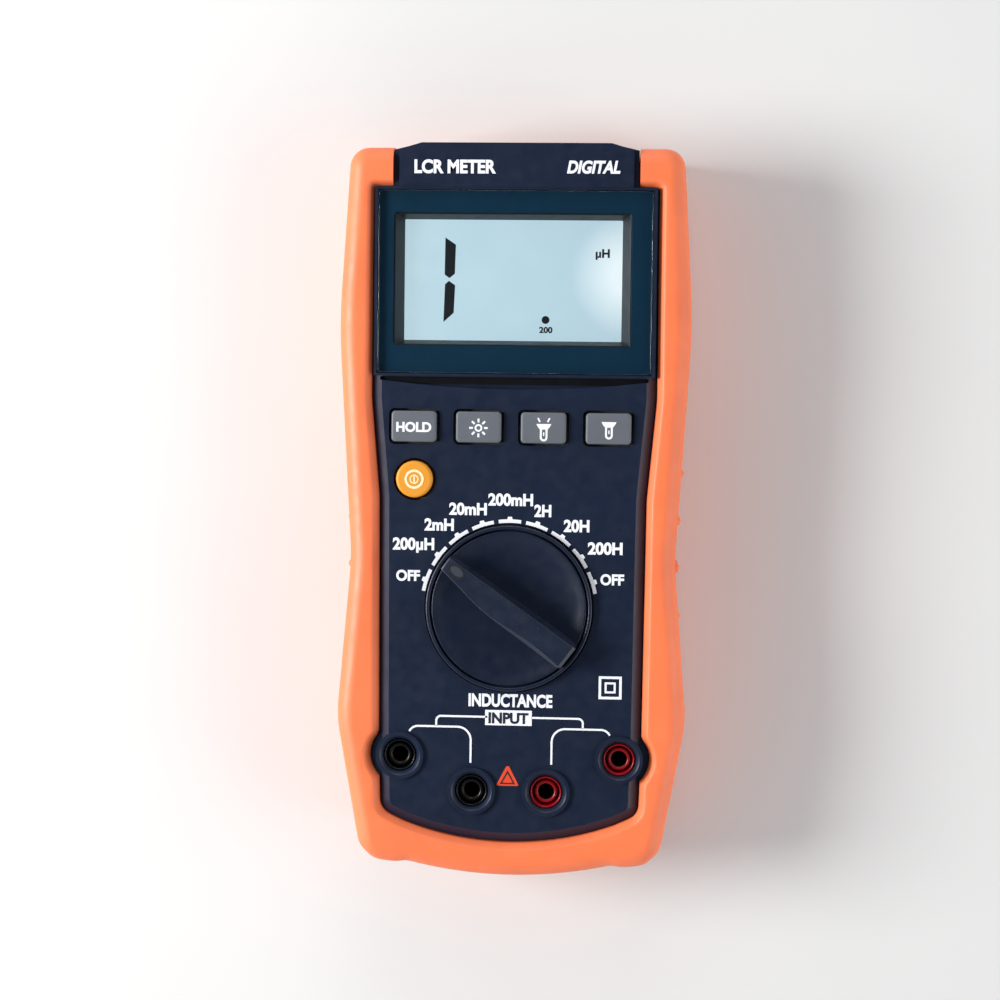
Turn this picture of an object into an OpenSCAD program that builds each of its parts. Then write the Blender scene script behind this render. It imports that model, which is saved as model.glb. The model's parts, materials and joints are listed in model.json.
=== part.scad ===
// Handheld inductance (LCR) meter with a rubber holster, lying on its back.
// +X is to the right of the panel, +Y is towards the display end, +Z is out of the panel.
// The origin is on the resting plane, under the middle of the holster. All sizes are in millimetres.

/* [Holster] */
// Overall length of the meter in its holster
length = 186.6; // [186:0.2:188]
// Height of the holster's front face above the resting plane
holster_h = 35.5; // [35:0.5:36.5]
// Thickness of the holster's side wall
holster_wall = 3; // [2.5:0.1:3.2]
// Number of grip ribs on each side
grip_ribs = 6; // [3:1:7]
// Spacing of the grip ribs
rib_pitch = 12.2; // [8:0.1:12.5]

/* [Case] */
// Height of the joint between the rear and the front case
parting_z = 20; // [19.5:0.5:20.5]
// Height of the top of the front panel
panel_z = 35; // [34.8:0.1:35.2]
// Thickness of the case walls
wall = 2.2; // [1.8:0.1:2.4]

/* [Display] */
// Width of the clear window plate
window_w = 69.2; // [66:0.2:69.6]
// Length of the clear window plate
window_l = 46; // [44:0.2:46.2]
// Width of the unprinted viewing area
view_w = 60.2; // [56:0.2:60.6]
// Length of the unprinted viewing area
view_l = 33.6; // [32:0.2:34]

/* [Range dial] */
// Radius of the dial's rim
dial_r = 21.1; // [20:0.1:21.2]
// Width of the grip bar at its pointer end
bar_tip_w = 4.2; // [3:0.1:5]
// Width of the grip bar at its other end
bar_end_w = 7.4; // [6:0.1:9]
// Height of the top of the grip bar above the resting plane
bar_top_z = 42.5; // [41:0.5:44]
// Angle of the pointer, counter-clockwise from +X
pointer_deg = 144; // [18:18:162]

/* [Keys] */
// Width of a rectangular key
key_w = 11.8; // [10:0.1:12.2]
// Length of a rectangular key
key_l = 8; // [7:0.1:8.4]
// Spacing of the rectangular keys
key_pitch = 16.4; // [15:0.1:16.5]
// Radius of the round power key
power_r = 4.8; // [4:0.1:5]
// Travel of every key
key_travel = 0.8; // [0.5:0.1:0.8]

/* [Input jacks] */
// Bore radius of a 4 mm banana socket
bore_r = 2; // [2:0.01:2.05]
// Radius of the insulating tube around a socket
tube_r = 4.1; // [3.7:0.05:4.2]
// Radius of the well that takes a shrouded plug
well_r = 5.3; // [5.2:0.1:5.6]
// Distance between the two inner jacks
inner_pitch = 19.05; // [19:0.05:19.1]

/* [Stand and battery] */
// Half width of the tilt stand
stand_x = 27; // [26:0.5:27]
// Thickness of the tilt stand
stand_t = 2.6; // [2.4:0.1:2.6]
// Length of a 9 V battery's case
battery_l = 46.4; // [46:0.1:46.5]

/* [Hidden] */
$fn = 48;
eps = 0.01;
fit = 0.25;         // gap around a part that is dropped into an opening

// Colours
orange = [0.98, 0.5, 0.3];
navy = [0.16, 0.19, 0.26];
key_grey = [0.46, 0.48, 0.5];
board_green = [0.1, 0.35, 0.2];
brass = [0.8, 0.65, 0.3];
steel = [0.7, 0.7, 0.72];

// Heights
lip_z = 31.4;       // underside of the holster's front lip
chamfer_z = 33.7;   // foot of the chamfer round the holster's opening
rim_z = 31.2;       // top of the front case under that lip
ledge_z = 33;       // top of the strip round the raised panel
ceiling_z = 32.6;   // inside of the front panel
back_z = 2;         // back face of the rear case
floor_z = 4.2;      // inside of the rear case
deep_floor_z = 7;   // inside of the rear case over the stand's recess
gap_z = 14;         // bottom of the cut-out between the holster's ears
glass_z = 29.4;     // front of the LCD glass
board_z = 23.2;     // underside of the main board
board_t = 1.6;
board_top = board_z + board_t;
jack_board_z = 8.4;
fuse_at = [54, board_z - 4.4];  // Y and Z of the fuse
tube_top_z = 34.6;
collar_top_z = 35.8;
well_floor_z = 12;  // bottom of the wells round the jacks
torch_z = 27.6;
rotor_z = 26.6;     // underside of the dial's rotor
detent_z = 30.4;    // height of the detent balls
switch_floor_z = board_top + 0.5;
key_gap = 0.55;     // gap round each key
key_skirt = 2.4;    // how much wider a key is behind the panel
key_foot_z = 29.35; // underside of the keys' stems

// Places on the panel
half_l = length / 2;
ear_x = 31.1;                       // inner edge of the holster's ears
ear_y = 82.5;                       // foot of the holster's ears
ear_top = half_l - 0.9;             // top of the holster's ears
nose_x = ear_x - fit;
nose_y = half_l;                    // end face of the case between the ears
nose_z = 15;                        // underside of the case between the ears
nose_slope = 1.7;                   // drop of its end face at the corners
nose_slope_x = 7;                   // width of that slope
shoulder_x = 29.5;
view_c = [-0.8, 59.2];              // centre of the viewing area
window_c = [-0.1, 58.5];
frame_l = 47.6;                     // length of the raised frame round the window
key_row = [-0.5, 21.9];
power_c = [-24.9, 8.5];
dial_c = [-0.5, -24];
dial_hole_r = dial_r + 0.45;
step_deg = 18;                      // angle between two ranges of the dial
outer_jack = [28, -62.2];
inner_jack = [inner_pitch / 2, -71];
lobe_r = 7.7;
collar_r = 6.1;                     // rim round each jack's well
waist = [41.6, -12];                // narrowest place of the holster's side
rib_y = 10.5;                       // Y of the topmost grip rib
rib_r = 1.15;
case_screw_at = [[34.4, 83.2], [29, -80]];
case_post_r = 3.2;                  // screw posts of both case halves
board_screw_at = [[33.4, 31], [30, -46]];
stand_axis = [6, 3.7];              // Y and Z of the stand's hinge
stand_foot_y = -76;
stand_rail = 7.5;                   // width of the stand's side rails
foot_bar = 11;
pin_r = 1.2;
door_half = 18;
door_l = 61;
door_c = [0, -31.5];
door_screw = [0, -58.6];
battery_y = -54.2;
snap_y = battery_y + battery_l + 2.5;   // middle of the battery's snap
battery_w = 26.5;
battery_t = 17.5;
battery_z = 4.6;
lead_z = 19;                        // height at which the battery leads leave their bay
lead_r = 0.6;

// ---- Outlines ----

// One corner of an outline, rounded to radius r with the points of its arc
function corner(a, p, b, r, steps) =
    let (
        u = (a - p) / norm(a - p),
        v = (b - p) / norm(b - p),
        half = acos(max(-1, min(1, u * v))) / 2,
        cut = r / tan(half),
        m = (u + v) / norm(u + v),
        c = p + m * r / sin(half),
        s = p + u * cut - c,
        turn = (u[0] * v[1] - u[1] * v[0]) > 0 ? -1 : 1,
        sweep = 180 - 2 * half
    )
    [for (i = [0:steps])
        let (t = turn * sweep * i / steps)
        c + [s[0] * cos(t) - s[1] * sin(t), s[0] * sin(t) + s[1] * cos(t)]];

// Rounds every corner of a closed outline whose points are [x, y, radius]
function rounded(q, steps = 5) =
    [for (i = [0:len(q) - 1])
        let (
            n = len(q),
            p = [q[i][0], q[i][1]],
            a = [q[(i + n - 1) % n][0], q[(i + n - 1) % n][1]],
            b = [q[(i + 1) % n][0], q[(i + 1) % n][1]]
        )
        each (q[i][2] > 0 ? corner(a, p, b, q[i][2], steps) : [p])];

// Mirrors a right-hand half outline, given from top to bottom, to a closed one
function both_sides(half) = concat(
    half,
    [for (i = [len(half) - 1:-1:0]) if (half[i][0] > eps) [-half[i][0], half[i][1], half[i][2]]]
);

// Moves a clockwise outline inwards by d
function inset(pts, d) =
    let (n = len(pts))
    [for (i = [0:n - 1])
        let (
            a = pts[(i + n - 1) % n],
            p = pts[i],
            b = pts[(i + 1) % n],
            u = (p - a) / norm(p - a),
            v = (b - p) / norm(b - p),
            nu = [u[1], -u[0]],
            nv = [v[1], -v[0]]
        )
        p + d * (nu + nv) / (1 + nu * nv)];

// Points of the bottom edge's arc, from x to the middle
function bottom_arc(x, y, r, steps) =
    [for (i = [0:steps]) let (t = x * (1 - i / steps)) [t, y + r - sqrt(r * r - t * t), 0]];

// Outline of the holster, moved in by d
function body_line(d) = inset(rounded(both_sides(concat(
    [[42.2, ear_top, max(5, d + 1)], [44.9, 48, 150], [41.4, -12, 60], [44.8, -53, 30]],
    [[38.4, -half_l + 4.6, max(6, d + 1)]],
    bottom_arc(27, -half_l, 112, 4)
))), d);

// Edge of the holster's front opening, without its jack lobes, moved in by d
function opening_half(d) = concat(
    [[36, ear_y, max(0.6, d + 0.3)], [36.2, 29, 30], [34, 4, 15], [33.6, -56, 60]],
    [[33.1, -76.6, max(4, d + 1)]],
    bottom_arc(27, -84.4, 76, 4)
);
function opening_line(d) = inset(rounded(both_sides(opening_half(d))), d);

// ---- Shared shapes ----

// Closed solid through rings of [outline, height], from the lowest up
module loft(rings) {
    n = len(rings[0][0]);
    m = len(rings);
    points = [for (r = rings) for (p = r[0]) [p[0], p[1], r[1]]];
    sides = [for (j = [0:m - 2]) for (i = [0:n - 1])
        [j * n + i, j * n + (i + 1) % n, (j + 1) * n + (i + 1) % n, (j + 1) * n + i]];
    ends = [[for (i = [n - 1:-1:0]) i], [for (i = [0:n - 1]) (m - 1) * n + i]];
    polyhedron(points, concat(sides, ends));
}

module slab(outline, z0, z1) {
    translate([0, 0, z0]) linear_extrude(z1 - z0) polygon(outline);
}

module block(x, y, z0, z1, c = [0, 0]) {
    translate([c[0] - x / 2, c[1] - y / 2, z0]) cube([x, y, z1 - z0]);
}

// Block with rounded upright edges
module pad(x, y, r, z0, z1, c = [0, 0]) {
    h = [x / 2, y / 2];
    translate([c[0], c[1], 0])
        slab(rounded([[h[0], h[1], r], [h[0], -h[1], r], [-h[0], -h[1], r], [-h[0], h[1], r]]), z0, z1);
}

module post(r, z0, z1, c = [0, 0]) {
    translate([c[0], c[1], z0]) cylinder(r = r, h = z1 - z0);
}

// Round bars along X and along Y
module bar_x(r, x0, x1, y, z) {
    translate([x0, y, z]) rotate([0, 90, 0]) cylinder(r = r, h = x1 - x0);
}

module bar_y(r, y0, y1, x, z) {
    translate([x, y0, z]) rotate([-90, 0, 0]) cylinder(r = r, h = y1 - y0);
}

// Cuts its children off level at the bottom and the top
module level(z0, z1) {
    intersection() {
        children();
        block(3 * length, 3 * length, z0, z1);
    }
}

module sides(c) {
    for (s = [-1, 1]) translate([s * c[0], c[1], 0]) children();
}

module four(at) {
    for (p = at) sides(p) children();
}

module ring(r_out, r_in, z0, z1) {
    difference() {
        post(r_out, z0, z1);
        post(r_in, z0 - eps, z1 + eps);
    }
}

module all_jacks() {
    sides(outer_jack) children();
    sides(inner_jack) children();
}

key_x = [for (i = [0:3]) key_row[0] + (i - 1.5) * key_pitch];

// ---- Holster ----

module grip_ribs() {
    for (k = [0:grip_ribs - 1], s = [-1, 1]) {
        y = rib_y - k * rib_pitch;
        x = waist[0] + 2.1 * pow((y - waist[1]) / 39, 2);
        post(rib_r, 8, 27, [s * x, y]);
    }
}

module holster() {
    color(orange) difference() {
        union() {
            level(0, holster_h) loft([
                [body_line(4.7), -1], [body_line(0.7), 0.6], [body_line(0), 2.4], [body_line(0), 30.5],
                [body_line(0.5), 33], [body_line(1.5), holster_h - 0.8], [body_line(4.5), holster_h + 0.8]
            ]);
            grip_ribs();
            // slight swelling at each bottom corner
            sides([30.5, -half_l + 5.8]) post(2.4, 3, 31);
        }
        slab(body_line(holster_wall - 0.1), 1.8, lip_z);
        loft([
            [opening_line(0), lip_z - 2],
            [opening_line(0), chamfer_z],
            [opening_line(-4), holster_h + 1]
        ]);
        sides(outer_jack) post(lobe_r, lip_z - eps, holster_h + 1);
        block(2 * ear_x, 24, gap_z, holster_h + 2, [0, ear_y + 11.7]);
        pad(58, 152, 8, -1, 1.8 + eps, [0, -6]);
    }
}

// ---- Front case ----

case_line = body_line(holster_wall);
inner_line = body_line(holster_wall + wall);

module detent_ring() {
    translate([dial_c[0], dial_c[1], 0]) difference() {
        ring(21.8, 19, rotor_z, ceiling_z + eps);
        for (a = [0:step_deg:359]) rotate(a) translate([19, 0, 0]) post(0.6, 26, ceiling_z);
    }
}

// Outline of the case between the ears, sloping at its two outer corners
function nose_line(x, y0) = [
    [x, y0],
    [-x, y0],
    [-x, nose_y - nose_slope],
    [nose_slope_x - nose_x, nose_y],
    [nose_x - nose_slope_x, nose_y],
    [x, nose_y - nose_slope]
];

module front_case_outside() {
    slab(case_line, parting_z, rim_z);
    level(0, panel_z) loft([
        [opening_line(fit), rim_z - 0.2], [opening_line(fit), ledge_z], [opening_line(3.9), panel_z + 1]
    ]);
    slab(nose_line(nose_x, ear_y - 2), nose_z, 34.2);
    slab(nose_line(shoulder_x, window_c[1] + frame_l / 2), nose_z, 35.4);
    block(window_w + 2, frame_l, rim_z, panel_z + 0.2, [0, window_c[1]]);
    sides(outer_jack) post(lobe_r - fit, rim_z - eps, ledge_z + 0.4);
    all_jacks() post(collar_r, ledge_z, collar_top_z);
}

module front_case_inside() {
    slab(inner_line, parting_z - eps, rim_z - wall);
    slab(opening_line(3), rim_z - wall - eps, ceiling_z);
    block(2 * (nose_x - wall), 11, nose_z + 2, 32, [0, nose_y - 9]);
}

module front_case_posts() {
    intersection() {
        union() {
            four(case_screw_at) post(case_post_r, parting_z, ceiling_z);
            four(board_screw_at) post(2.6, board_top, ceiling_z);
            all_jacks() post(well_r + 1.4, well_floor_z, ceiling_z);
            detent_ring();
            // ledge under the window
            block(68, 44.6, 31.7, ledge_z, window_c);
        }
        union() {
            slab(body_line(holster_wall + 1), parting_z, rim_z);
            slab(opening_line(0.5), rim_z, ceiling_z + eps);
            all_jacks() post(well_r + 1.4, well_floor_z, parting_z + eps);
        }
    }
}

module front_case() {
    color(navy) difference() {
        union() {
            difference() {
                front_case_outside();
                front_case_inside();
            }
            front_case_posts();
        }
        block(window_w + 0.4, window_l + 0.4, 33.35, 40, window_c);
        block(view_w + 1, view_l + 1, 28, 34, view_c);
        crescent();
        for (x = key_x) pad(key_w + 2 * key_gap, key_l + 2 * key_gap, 1.4, 28, 40, [x, key_row[1]]);
        post(power_r + key_gap, 28, 40, power_c);
        post(dial_hole_r, 33.8, 40, dial_c);
        post(8.2, 28, 40, dial_c);
        all_jacks() post(well_r, well_floor_z - 1, 40);
        four(case_screw_at) post(1.5, 19, 28);
        four(board_screw_at) post(1.05, 24, 30);
        bar_y(3.1, 80, 100, 0, torch_z);
    }
}

// Curved groove between the display frame and the lower panel
module crescent() {
    r = 275;
    translate([0, 0, panel_z - 1.6]) linear_extrude(3) polygon(concat(
        [[-34, 34.5], [34, 34.5]],
        [for (i = [0:8]) let (x = 34 - i * 8.5) [x, 31.5 + r - sqrt(r * r - x * x)]]
    ));
}

// ---- Rear case ----

module stand_recess() {
    half = stand_x + 0.4;
    difference() {
        block(2 * half, stand_axis[0] + 1.7 - stand_foot_y + 0.5, back_z - eps, 5.4,
            [0, (stand_axis[0] + 1.7 + stand_foot_y - 0.5) / 2]);
        block(2 * (stand_x - stand_rail - 0.4), door_l + 3.4, 0, 6, door_c);
    }
}

module battery_bay() {
    block(33.4, 57, floor_z - eps, 22.9, [0, -30]);
}

module rear_case() {
    color(navy) difference() {
        union() {
            difference() {
                level(back_z, parting_z) loft([
                    [body_line(holster_wall + 2.5), back_z - 1],
                    [case_line, back_z + 1.8],
                    [case_line, parting_z + 1]
                ]);
                slab(inner_line, floor_z, parting_z + eps);
            }
            intersection() {
                slab(body_line(holster_wall + 1), floor_z - eps, deep_floor_z);
                block(2 * stand_x + 8, 93, floor_z - eps, deep_floor_z, [0, -34]);
            }
            battery_bay();
            four(case_screw_at) post(case_post_r, floor_z - eps, parting_z - 0.05);
            post(3.4, floor_z, 14, door_screw);
        }
        // the nose of the front case fills the top end
        block(2 * nose_x + 0.5, 14, nose_z - 0.2, 40, [0, nose_y - 6]);
        stand_recess();
        // hinge sockets
        bar_x(pin_r + 0.06, -stand_x - 2.6, stand_x + 2.6, stand_axis[0], stand_axis[1]);
        // battery bay, door seat and door screw
        block(27.4, 51.4, 0, 22.2, [0, -29.1]);
        block(2 * door_half + 0.4, door_l + 0.4, 0, floor_z, door_c);
        post(1, 3, 12, door_screw);
        // way out for the battery leads
        block(8, 6, 16, 21.6, [0, -2]);
        four(case_screw_at) {
            post(3.1, 0, 6);
            post(1.7, 5, 30);
        }
        pad(40, 24, 2, back_z - 1, back_z + 0.4, [0, 40]);
    }
}

// ---- Display ----

module display_window() {
    color([0.75, 0.85, 0.9, 0.3]) pad(window_w, window_l, 0.8, 33.65, 35.4, window_c);
}

module window_mask() {
    color([0.08, 0.2, 0.27]) difference() {
        pad(window_w, window_l, 0.8, 33.4, 33.6, window_c);
        pad(view_w, view_l, 1, 33, 34, view_c);
    }
}

module lcd_bezel() {
    face = [55.2, 30.5];
    slope = 33.2 - glass_z;
    color([0.3, 0.32, 0.36]) translate([view_c[0], view_c[1], 0]) difference() {
        union() {
            block(64, 40, glass_z + 0.05, 31.6);
            block(view_w + 0.6, view_l + 0.6, 31.5, 33.2);
        }
        loft([
            [frame_line(face[0], face[1]), glass_z],
            [frame_line(view_w - 0.8, view_l - 0.8), glass_z + slope + eps]
        ]);
    }
}

function frame_line(x, y) = [[x / 2, y / 2], [x / 2, -y / 2], [-x / 2, -y / 2], [-x / 2, y / 2]];

module lcd_panel() {
    color([0.69, 0.8, 0.85]) pad(62, 38, 0.4, 27, glass_z, view_c);
}

module backlight_diffuser() {
    color([0.95, 0.97, 1]) block(58, 33.6, board_top + 0.05, 26.95, view_c);
}

module backlight_leds() {
    color([1, 1, 0.85]) for (s = [-1, 1])
        translate([view_c[0] + s * 31.2, view_c[1], 0]) block(1.6, 3.2, board_top, 26.4);
}

module zebra_strips() {
    color([0.85, 0.85, 0.9]) for (s = [-1, 1])
        translate([view_c[0], view_c[1] + s * 17.9, 0]) block(58, 1.8, board_top, 26.98);
}

// ---- Boards and what is on them ----

module main_board() {
    color(board_green) difference() {
        intersection() {
            slab(body_line(holster_wall + wall + 0.9), board_z, board_top);
            block(100, 133, board_z - 1, board_top + 1, [0, 15.1]);
        }
        four(board_screw_at) post(1.2, board_z - 1, board_top + 1);
        four(case_screw_at) post(case_post_r + 0.5, board_z - 1, board_top + 1);
    }
}

module board_screws() {
    color(steel) four(board_screw_at) {
        post(2.2, board_z - 1.6, board_z);
        post(0.95, board_z - eps, 29);
    }
}

module meter_chip() {
    color([0.08, 0.08, 0.09]) block(14, 14, board_z - 2, board_z, [4, 30]);
}

module crystal() {
    color(steel) pad(11, 4.6, 2.2, board_z - 3.6, board_z, [-14, 27]);
}

module filter_capacitors() {
    color([0.15, 0.2, 0.45]) for (x = [-26, -18]) post(3, board_z - 9, board_z, [x, 14]);
}

module input_fuse() {
    color([0.85, 0.85, 0.8]) {
        bar_x(2.6, -10, -5, fuse_at[0], fuse_at[1]);
        bar_x(2.35, -5.1, 5.1, fuse_at[0], fuse_at[1]);
        bar_x(2.6, 5, 10, fuse_at[0], fuse_at[1]);
    }
}

module fuse_clips() {
    color(brass) for (x = [-7.5, 7.5]) {
        difference() {
            block(3.6, 6.6, board_z - 6.4, board_z, [x, fuse_at[0]]);
            bar_x(2.65, x - 3, x + 3, fuse_at[0], fuse_at[1]);
            block(5, 3.6, board_z - 8, fuse_at[1], [x, fuse_at[0]]);
        }
    }
}

module jack_board() {
    color(board_green) difference() {
        union() {
            block(64, 18, jack_board_z, jack_board_z + board_t, [0, inner_jack[1] + 1]);
            sides([25.5, -55]) block(9, 20, jack_board_z, jack_board_z + board_t);
        }
        all_jacks() post(2.6, 5, 15);
        sides(case_screw_at[1]) post(case_post_r + 0.4, 5, 15);
        post(3.8, 5, 15, door_screw);
    }
}

module board_link_pins() {
    color(brass) for (s = [-1, 1], k = [-1, 0, 1])
        translate([s * 26, -48.5 + k * 2.54, 0]) block(0.64, 0.64, jack_board_z + board_t, board_z);
}

// ---- Range dial ----

module grip_bar() {
    e = dial_r - 1;
    tip = bar_tip_w / 2;
    end = bar_end_w / 2;
    rotate(pointer_deg) hull() {
        translate([0, 0, 34.6]) linear_extrude(0.1)
            polygon([[e, tip + 0.8], [e, -tip - 0.8], [-e, -end - 0.8], [-e, end + 0.8]]);
        translate([0, 0, bar_top_z - 0.1]) linear_extrude(0.1)
            polygon([[e - 0.6, tip], [e - 0.6, -tip], [0.6 - e, -end], [0.6 - e, end]]);
    }
}

module range_dial() {
    color(navy) translate([dial_c[0], dial_c[1], 0]) {
        difference() {
            post(dial_r, 34, 36.6);
            // the dish that the bar stands in
            post(dial_r - 1.2, 35.3, 40);
        }
        grip_bar();
        post(7.9, 28.6, 34.1);
    }
}

module dial_rotor() {
    color([0.85, 0.83, 0.75]) translate([dial_c[0], dial_c[1], 0]) difference() {
        union() {
            post(17.6, rotor_z, rotor_z + 2);
            for (a = [0, 180]) rotate(pointer_deg + a) block(8.4, 4.4, rotor_z + 1.9, 32.2, [13.4, 0]);
        }
        for (a = [0, 180]) rotate(pointer_deg + a) bar_x(1.3, 10.4, 20, 0, detent_z);
    }
}

module rotor_wipers() {
    color(brass) translate([dial_c[0], dial_c[1], 0]) for (a = [90, 210, 330])
        rotate(pointer_deg + a) translate([11, 0, 0]) {
            block(7, 1.6, rotor_z - 0.4, rotor_z);
            block(1.6, 1.6, board_top + 0.05, rotor_z - 0.3, [2.6, 0]);
        }
}

module detent_springs() {
    color(steel) translate([dial_c[0], dial_c[1], detent_z]) for (a = [0, 180], k = [0:4])
        rotate(pointer_deg + a) translate([10.95 + 1.15 * k, 0, 0]) rotate([0, 90, 0])
            rotate_extrude() translate([0.9, 0]) circle(r = 0.22, $fn = 16);
}

module detent_balls() {
    color(steel) translate([dial_c[0], dial_c[1], 0]) for (a = [0, 180])
        rotate(pointer_deg + a) translate([17.6, 0, detent_z]) sphere(r = 1.15);
}

// ---- Keys ----

module key_cap(x) {
    translate([x, key_row[1], 0]) color(key_grey) {
        pad(key_w, key_l, 0.9, 31.5, 35.9);
        loft([
            [rounded_rect(key_w, key_l), 35.89],
            [rounded_rect(key_w - 0.8, key_l - 0.8), 36.3]
        ]);
        pad(key_w + key_skirt, key_l + key_skirt, 1.5, 30.6, 31.6);
        post(1.5, key_foot_z, 30.7);
    }
}

function rounded_rect(x, y) =
    rounded([[x / 2, y / 2, 0.9], [x / 2, -y / 2, 0.9], [-x / 2, -y / 2, 0.9], [-x / 2, y / 2, 0.9]]);

module hold_key() { key_cap(key_x[0]); }

module backlight_key() { key_cap(key_x[1]); }

module torch_on_key() { key_cap(key_x[2]); }

module torch_off_key() { key_cap(key_x[3]); }

module power_key() {
    color([0.95, 0.62, 0.18]) translate([power_c[0], power_c[1], 0]) {
        post(power_r, 31.5, 35.7);
        translate([0, 0, 35.69]) cylinder(r1 = power_r, r2 = power_r - 0.5, h = 0.5);
        post(power_r + key_skirt / 2, 30.6, 31.6);
        post(1.5, key_foot_z, 30.7);
    }
}

key_places = concat([for (x = key_x) [x, key_row[1]]], [power_c]);

module plunger(i) {
    color([0.15, 0.15, 0.16]) post(1.7, switch_floor_z + 0.2 + key_travel, key_foot_z, key_places[i]);
}

module key_switches() {
    color([0.2, 0.2, 0.22]) for (c = key_places) difference() {
        block(6, 6, board_top, 28.3, c);
        post(1.8, switch_floor_z, 30, c);
    }
}

// ---- Input jacks ----

module jack_tube(c, tint) {
    color(tint) translate([c[0], c[1], 0]) difference() {
        union() {
            post(tube_r, jack_board_z + board_t + 0.05, tube_top_z);
            post(well_r - 0.1, jack_board_z + board_t + 0.05, well_floor_z);
        }
        post(2.6, 9, 36);
        translate([0, 0, tube_top_z - 1]) cylinder(r1 = 2.6, r2 = 3.3, h = 1 + eps);
    }
}

module jack_sleeve(c) {
    color(brass) translate([c[0], c[1], 0]) difference() {
        post(2.56, 8, 33.4);
        post(bore_r, 10.4, 34);
    }
}

jack_black = [0.06, 0.06, 0.06];
jack_red = [0.6, 0.08, 0.09];

// ---- Torch ----

module torch_lens() {
    color([0.9, 0.95, 1, 0.4]) bar_y(3, nose_y - 1.9, nose_y - 0.2, 0, torch_z);
}

module torch_led() {
    color([0.95, 0.95, 0.9]) {
        bar_y(2.75, 79.5, 80.7, 0, torch_z);
        bar_y(2.45, 79.5, 85.5, 0, torch_z);
        translate([0, 85.5, torch_z]) sphere(r = 2.45);
    }
}

// ---- Battery ----

module battery() {
    color([0.15, 0.15, 0.17]) pad(battery_w, battery_l, 0.01, battery_z, battery_z + battery_t,
        [0, battery_y + battery_l / 2]);
    color(steel) for (x = [-6.35, 6.35])
        bar_y(x < 0 ? 2.8 : 3.4, snap_y - 2.5 - eps, snap_y - 0.9, x, battery_z + battery_t / 2);
}

module battery_snap() {
    color([0.08, 0.08, 0.08]) block(25, 1.5, 6.4, 19.6, [0, snap_y]);
}

module battery_leads() {
    for (s = [-1, 1]) color(s > 0 ? [0.7, 0.1, 0.1] : [0.05, 0.05, 0.05]) {
        bar_y(lead_r, snap_y + 0.8, 3, s * 1.2, lead_z);
        post(lead_r, lead_z - lead_r, board_z, [s * 1.2, 3]);
    }
}

module battery_door() {
    color(navy) difference() {
        pad(2 * door_half, door_l, 1, back_z + 0.1, floor_z - 0.1, door_c);
        post(1.3, 0, 6, door_screw);
        post(2.6, 0, 2.9, door_screw);
        for (k = [0:4]) block(14, 1, 0, 2.6, [0, -10 - 2.4 * k]);
    }
}

module battery_door_screw() {
    color(steel) {
        post(2.3, back_z + 0.2, 2.9, door_screw);
        post(0.95, 2.8, 10, door_screw);
    }
}

// ---- Fasteners, stand and plate ----

module case_screws() {
    color(steel) four(case_screw_at) {
        post(2.7, 4.4, 6);
        post(1.4, 6 - eps, 26);
    }
}

module tilt_stand() {
    y0 = stand_foot_y;
    y1 = stand_axis[0];
    color([0.2, 0.22, 0.26]) difference() {
        union() {
            pad(2 * stand_x, y1 - y0, 1.5, stand_axis[1] - stand_t / 2, stand_axis[1] + stand_t / 2,
                [0, (y0 + y1) / 2]);
            bar_x(stand_t / 2, -stand_x, stand_x, y1, stand_axis[1]);
            bar_x(pin_r, -stand_x - 2.2, stand_x + 2.2, y1, stand_axis[1]);
        }
        pad(2 * (stand_x - stand_rail), y1 - 4 - y0 - foot_bar, 1.5, 0, 6,
            [0, (y0 + foot_bar + y1 - 4) / 2]);
    }
}

module rating_plate() {
    color([0.75, 0.75, 0.76]) pad(39, 23, 1.5, back_z + 0.1, back_z + 0.4, [0, 40]);
}

// ---- Nodes ----

holster();
front_case();
rear_case();
display_window();
window_mask();
lcd_bezel();
lcd_panel();
backlight_diffuser();
backlight_leds();
zebra_strips();
main_board();
board_screws();
meter_chip();
crystal();
filter_capacitors();
input_fuse();
fuse_clips();
range_dial();
dial_rotor();
rotor_wipers();
detent_springs();
detent_balls();
hold_key();
backlight_key();
torch_on_key();
torch_off_key();
power_key();
plunger(0);  // hold_plunger
plunger(1);  // backlight_plunger
plunger(2);  // torch_on_plunger
plunger(3);  // torch_off_plunger
plunger(4);  // power_plunger
key_switches();
jack_tube([-outer_jack[0], outer_jack[1]], jack_black);  // jack_tube_black_outer
jack_tube([-inner_jack[0], inner_jack[1]], jack_black);  // jack_tube_black_inner
jack_tube(inner_jack, jack_red);  // jack_tube_red_inner
jack_tube(outer_jack, jack_red);  // jack_tube_red_outer
jack_sleeve([-outer_jack[0], outer_jack[1]]);  // jack_sleeve_black_outer
jack_sleeve([-inner_jack[0], inner_jack[1]]);  // jack_sleeve_black_inner
jack_sleeve(inner_jack);  // jack_sleeve_red_inner
jack_sleeve(outer_jack);  // jack_sleeve_red_outer
jack_board();
board_link_pins();
torch_lens();
torch_led();
battery();
battery_snap();
battery_leads();
battery_door();
battery_door_screw();
case_screws();
tilt_stand();
rating_plate();
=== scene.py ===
"""Looks of a handheld component meter: rubber holster, printed panel, display, dial, keys and jacks."""

import json
import math

import bmesh
import bpy
from mathutils import Matrix, Vector


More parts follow.
